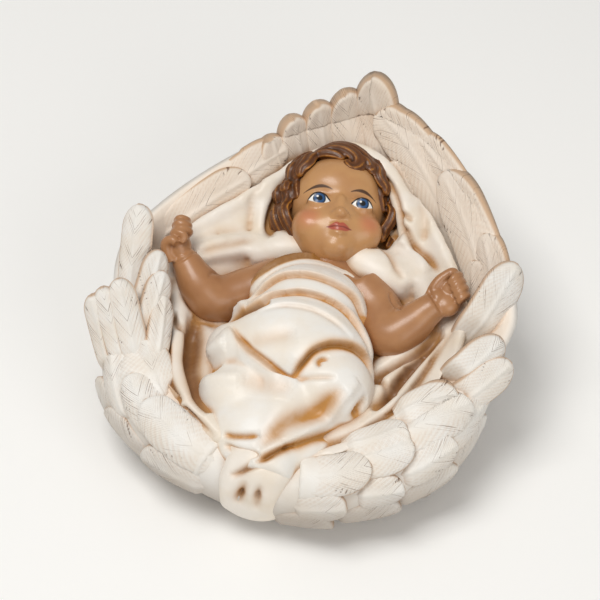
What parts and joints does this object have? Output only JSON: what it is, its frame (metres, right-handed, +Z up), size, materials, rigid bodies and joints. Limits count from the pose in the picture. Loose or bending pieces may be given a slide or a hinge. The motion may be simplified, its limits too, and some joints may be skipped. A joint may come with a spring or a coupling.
{
  "type": "baby jesus figurine",
  "caption": "Painted resin figurine of a swaddled baby lying on a blanket in a cradle of two folded angel wings; stands on its flat underside.",
  "frame": {"origin": "middle of the flat underside, under the middle of the whole box", "axes": "+Y from the foot of the cradle to the head, +Z up, +X towards the baby's left hand"},
  "size_m": [0.1562, 0.1684, 0.0807],
  "materials": {
    "painted_resin": "hand painted: cream wings and cloth with an ochre antique wash, satin skin and hair"
  },
  "bodies": {
    "root": {"figurine": "painted_resin"}
  },
  "joints": []
}
